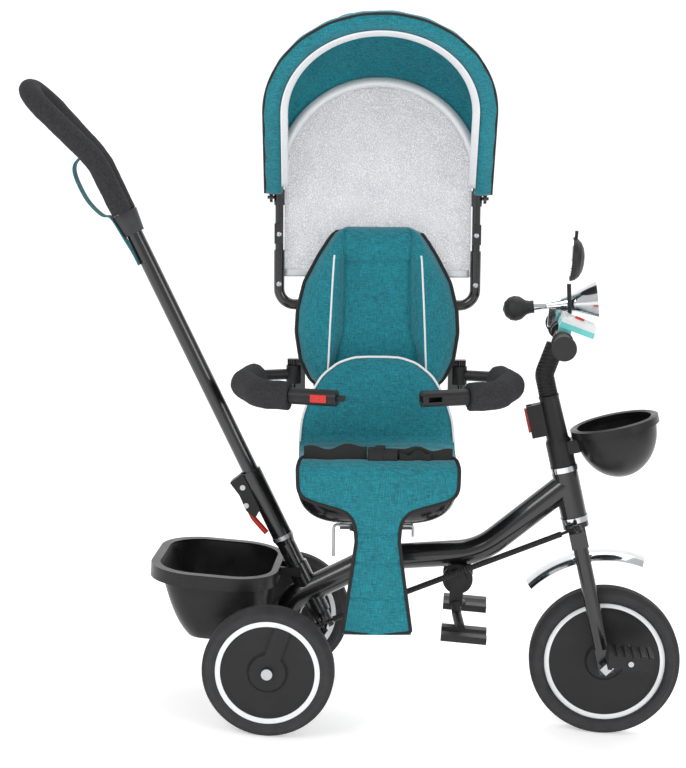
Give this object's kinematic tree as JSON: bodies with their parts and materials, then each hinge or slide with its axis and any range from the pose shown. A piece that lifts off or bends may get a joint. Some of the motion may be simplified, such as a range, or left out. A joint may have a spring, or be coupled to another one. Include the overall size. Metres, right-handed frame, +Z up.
{
  "type": "push tricycle",
  "caption": "Child's push tricycle with swivelling padded seat, guard arms, folding canopy, steering push bar, baskets, pedals and footrests.",
  "frame": {"origin": "on the floor under the middle of the rear axle", "axes": "+X forward, +Y to the rider's left, +Z up"},
  "size_m": [1.1598, 0.406, 1.1584],
  "materials": {
    "black_paint": "gloss black powder coat",
    "black_plastic": "fine satin",
    "gloss_plastic": "polished",
    "white_plastic": "polished white",
    "tyre_foam": "matt foam rubber",
    "chrome": "polished",
    "steel": "zinc plated",
    "foam": "matt foam",
    "rubber": "matt",
    "teal_cloth": "heather weave",
    "mesh_cloth": "sheer net",
    "black_web": "woven webbing",
    "red_plastic": "polished red",
    "turquoise": "polished",
    "mirror": "silvered"
  },
  "bodies": {
    "chassis": {"main_frame": "black_paint", "head_bearing_cups": "chrome", "rear_axle": "steel", "rear_basket": "black_plastic", "footrest_bracket": "black_plastic"},
    "rear_left_wheel": {"rear_wheel_left_tyre": "tyre_foam", "rear_wheel_left_ring": "white_plastic", "rear_wheel_left_disc": "black_plastic"},
    "rear_right_wheel": {"rear_wheel_right_tyre": "tyre_foam", "rear_wheel_right_ring": "white_plastic", "rear_wheel_right_disc": "black_plastic"},
    "steering": {"fork": "black_paint", "front_mudguard": "chrome", "stem_collar": "black_plastic", "front_bowl": "black_plastic"},
    "stem_lever": {"stem_clamp_lever": "red_plastic"},
    "bars": {"handlebar": "black_paint", "stem_cover": "rubber", "handlebar_grips": "rubber", "music_box_base": "turquoise", "music_box_cover": "white_plastic", "mirror_stalk": "black_plastic", "horn_bulb": "rubber", "horn_bell": "chrome"},
    "music_key": {"music_button": "red_plastic"},
    "mirror": {"mirror_shell": "black_plastic", "mirror_glass": "mirror"},
    "front_wheel": {"front_wheel_tyre": "tyre_foam", "front_wheel_ring": "white_plastic", "front_wheel_disc": "black_plastic", "crankshaft": "steel"},
    "right_pedal": {"pedal_right": "black_plastic"},
    "left_pedal": {"pedal_left": "black_plastic"},
    "link": {"steering_link": "black_paint"},
    "push_bar": {"push_lower_tube": "black_paint", "push_clamp_housing": "black_plastic", "push_bar_trim": "steel"},
    "push_lever": {"push_clamp_lever": "red_plastic"},
    "push_handle": {"push_upper_tube": "black_paint", "push_collar": "black_plastic", "push_handle_foam": "foam", "wrist_strap": "teal_cloth"},
    "seat": {"seat_frame": "black_paint", "seat_shell": "gloss_plastic", "seat_cushion": "teal_cloth", "back_cushion": "teal_cloth", "lap_belt": "black_web", "leg_flap": "teal_cloth"},
    "seat_lever": {"swivel_lever": "steel"},
    "left_arm": {"guard_arm_left": "black_plastic", "arm_foam_left": "foam"},
    "right_arm": {"guard_arm_right": "black_plastic", "arm_foam_right": "foam"},
    "arm_button": {"clip_button": "red_plastic"},
    "canopy": {"canopy_rear_hoop": "black_paint", "canopy_mesh": "mesh_cloth", "canopy_hood": "teal_cloth"},
    "canopy_front": {"canopy_bow": "black_paint"},
    "left_footrest": {"footrest_left": "black_plastic"},
    "right_footrest": {"footrest_right": "black_plastic"}
  },
  "joints": [
    {"name": "steering_turn", "type": "hinge", "parent": "chassis", "child": "steering", "pos_m": [0.545, 0, 0.125], "axis": [-0.2924, 0, 0.9563], "range_deg": [-30, 30]},
    {"name": "handlebar_height", "type": "slide", "parent": "steering", "child": "bars", "axis": [-0.2924, 0, 0.9563], "range_m": [0, 0.025]},
    {"name": "stem_lever_open", "type": "hinge", "parent": "steering", "child": "stem_lever", "pos_m": [0.38075, 0, 0.53227], "axis": [0, 1, 0], "range_deg": [0, 40]},
    {"name": "music_key_press", "type": "slide", "parent": "bars", "child": "music_key", "axis": [0.2756, 0, 0.9613], "range_m": [-0.002, 0], "stiffness_N_per_m": 600},
    {"name": "mirror_tilt", "type": "hinge", "parent": "bars", "child": "mirror", "pos_m": [0.42949, 0.042, 0.74767], "axis": [0, 1, 0], "range_deg": [-20, 20]},
    {"name": "front_wheel_spin", "type": "hinge", "parent": "steering", "child": "front_wheel", "pos_m": [0.545, 0, 0.125], "axis": [0, 1, 0], "continuous": true},
    {"name": "right_pedal_spin", "type": "hinge", "parent": "front_wheel", "child": "right_pedal", "pos_m": [0.57712, -0.102, 0.16067], "axis": [0, 1, 0], "continuous": true},
    {"name": "left_pedal_spin", "type": "hinge", "parent": "front_wheel", "child": "left_pedal", "pos_m": [0.51288, 0.102, 0.08933], "axis": [0, 1, 0], "continuous": true},
    {"name": "rear_left_spin", "type": "hinge", "parent": "chassis", "child": "rear_left_wheel", "pos_m": [0, 0.178, 0.1065], "axis": [0, 1, 0], "continuous": true},
    {"name": "rear_right_spin", "type": "hinge", "parent": "chassis", "child": "rear_right_wheel", "pos_m": [0, -0.178, 0.1065], "axis": [0, 1, 0], "continuous": true},
    {"name": "push_bar_turn", "type": "hinge", "parent": "chassis", "child": "push_bar", "pos_m": [0.0435, 0, 0.19624], "axis": [-0.5, 0, 0.866], "range_deg": [-30, 30]},
    {"name": "link_swing", "type": "hinge", "parent": "steering", "child": "link", "pos_m": [0.47629, -0.045, 0.34973], "axis": [-0.2924, 0, 0.9563], "range_deg": [-30, 30]},
    {"name": "push_lever_open", "type": "hinge", "parent": "push_bar", "child": "push_lever", "pos_m": [-0.07435, 0, 0.33836], "axis": [0, 1, 0], "range_deg": [0, 35]},
    {"name": "push_handle_height", "type": "slide", "parent": "push_bar", "child": "push_handle", "axis": [-0.5, 0, 0.866], "range_m": [-0.07, 0]},
    {"name": "seat_swivel", "type": "hinge", "parent": "chassis", "child": "seat", "pos_m": [0.15, 0, 0.27], "axis": [-0.0698, 0, 0.9976], "range_deg": [-94, 86], "deforming": ["leg_flap"]},
    {"name": "swivel_lever_lift", "type": "hinge", "parent": "seat", "child": "seat_lever", "pos_m": [0.14964, -0.05586, 0.33112], "axis": [0.9951, 0.0698, 0.0696], "range_deg": [-12, 0]},
    {"name": "left_arm_swing", "type": "hinge", "parent": "seat", "child": "left_arm", "pos_m": [-0.01456, 0.06206, 0.5492], "axis": [-0.0698, 0, 0.9976], "range_deg": [-10, 16]},
    {"name": "right_arm_swing", "type": "hinge", "parent": "seat", "child": "right_arm", "pos_m": [0.26408, 0.08159, 0.56868], "axis": [-0.0698, 0, 0.9976], "range_deg": [-16, 10]},
    {"name": "clip_button_press", "type": "slide", "parent": "left_arm", "child": "arm_button", "axis": [-0.2159, -0.9763, -0.0151], "range_m": [-0.0025, 0], "stiffness_N_per_m": 500},
    {"name": "canopy_height", "type": "slide", "parent": "seat", "child": "canopy", "axis": [-0.0698, 0, 0.9976], "range_m": [-0.008, 0.02]},
    {"name": "canopy_fold", "type": "hinge", "parent": "canopy", "child": "canopy_front", "pos_m": [0.10223, 0.09976, 0.85309], "axis": [0.9951, 0.0698, 0.0696], "range_deg": [-34, 0], "deforming": ["canopy_hood"]},
    {"name": "left_footrest_fold", "type": "hinge", "parent": "chassis", "child": "left_footrest", "pos_m": [0.29, 0.031, 0.245], "axis": [0, 1, 0], "range_deg": [-75, 0]},
    {"name": "right_footrest_fold", "type": "hinge", "parent": "chassis", "child": "right_footrest", "pos_m": [0.29, -0.031, 0.245], "axis": [0, 1, 0], "range_deg": [-75, 0]}
  ],
  "couplings": [
    {"joint": "push_bar_turn", "follows": "steering_turn", "ratio": 1},
    {"joint": "link_swing", "follows": "steering_turn", "ratio": -1}
  ]
}
